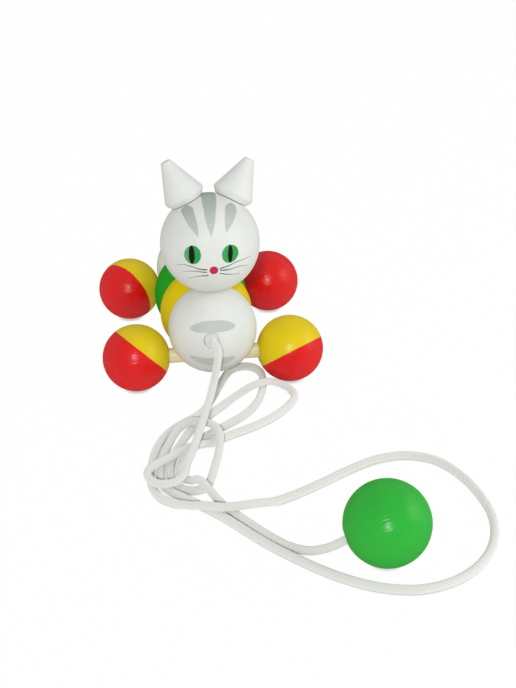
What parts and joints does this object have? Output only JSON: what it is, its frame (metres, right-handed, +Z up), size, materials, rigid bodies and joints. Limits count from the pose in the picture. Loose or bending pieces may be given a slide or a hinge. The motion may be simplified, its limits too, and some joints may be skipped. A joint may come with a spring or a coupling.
{
  "type": "animal pull toy",
  "caption": "Turned wooden cat on ball wheels with cone ears, body beads, a painted face and a long cord that ends in a pull ball.",
  "frame": {"origin": "on the floor under the middle of the toy, midway between the axles, cord and pull ball left out", "axes": "+Z up, the cat looks along -Y, +X to the right of someone facing the cat"},
  "size_m": [0.1741, 0.306, 0.1226],
  "materials": {
    "white_paint": "satin white paint on turned wood",
    "wheel_paint": "satin red and yellow paint on turned wood",
    "yellow_paint": "satin yellow paint on turned wood",
    "green_paint": "satin green paint on turned wood",
    "ball_green_paint": "satin green paint on turned wood",
    "plain_wood": "plain sanded wood",
    "cord_cotton": "matt off-white cotton"
  },
  "bodies": {
    "toy_body": {"chest_ball": "white_paint", "head_ball": "white_paint", "ear_left": "white_paint", "ear_right": "white_paint", "yellow_bead": "yellow_paint", "green_bead": "green_paint", "rear_ball": "white_paint", "spine_dowel": "plain_wood", "neck_dowel": "plain_wood", "ear_pin_left": "plain_wood", "ear_pin_right": "plain_wood", "cord_wedge": "white_paint", "pull_cord": "cord_cotton", "pull_ball": "ball_green_paint", "pull_ball_wedge": "plain_wood"},
    "front_wheelset": {"front_axle": "plain_wood", "front_left_wheel": "wheel_paint", "front_right_wheel": "wheel_paint"},
    "rear_wheelset": {"rear_axle": "plain_wood", "rear_left_wheel": "wheel_paint", "rear_right_wheel": "wheel_paint"}
  },
  "joints": [
    {"name": "front_axle_spin", "type": "hinge", "parent": "toy_body", "child": "front_wheelset", "pos_m": [0, -0.0445, 0.018], "axis": [1, 0, 0], "continuous": true},
    {"name": "rear_axle_spin", "type": "hinge", "parent": "toy_body", "child": "rear_wheelset", "pos_m": [0, 0.0445, 0.018], "axis": [1, 0, 0], "continuous": true}
  ]
}
